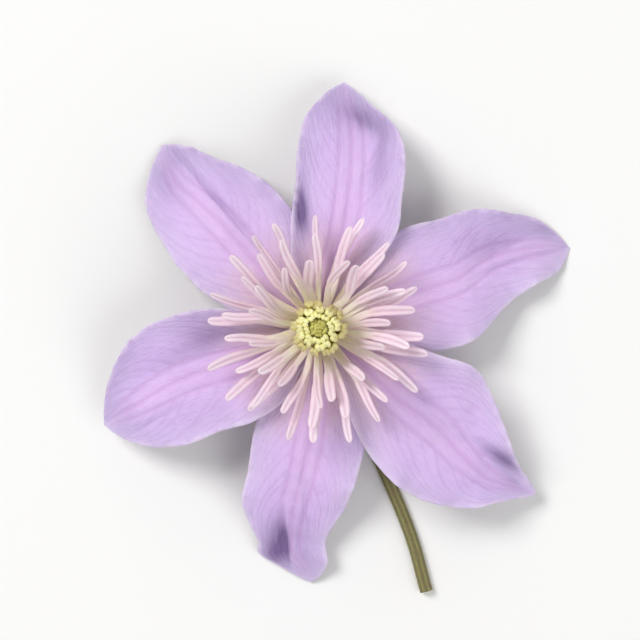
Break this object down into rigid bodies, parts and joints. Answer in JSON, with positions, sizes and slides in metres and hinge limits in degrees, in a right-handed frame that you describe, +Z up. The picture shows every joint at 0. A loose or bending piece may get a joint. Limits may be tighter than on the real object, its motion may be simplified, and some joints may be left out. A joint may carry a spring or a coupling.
{
  "type": "clematis flower",
  "caption": "Open clematis bloom, picked with a short bent stalk and laid face up: broad pointed lilac sepals in two whorls, spreading strap-like stamens and an upright yellow-green middle.",
  "frame": {"origin": "on the surface that the flower lies on, under the middle of its box", "axes": "+Z up, the way the flower faces; +Y towards the tip of the sepal opposite the stalk; +X to the right, seen from above"},
  "size_m": [0.0844, 0.0918, 0.0274],
  "materials": {
    "stalk": "satin",
    "sepals": "satin",
    "outer_stamens": "satin",
    "inner_stamens": "satin",
    "pistil": "satin"
  },
  "bodies": {
    "root": {"stalk": "stalk", "sepal_right": "sepals", "sepal_top": "sepals", "sepal_top_left": "sepals", "sepal_left": "sepals", "sepal_bottom": "sepals", "sepal_bottom_right": "sepals", "outer_stamens": "outer_stamens", "inner_stamens": "inner_stamens", "pistil": "pistil"}
  },
  "joints": []
}
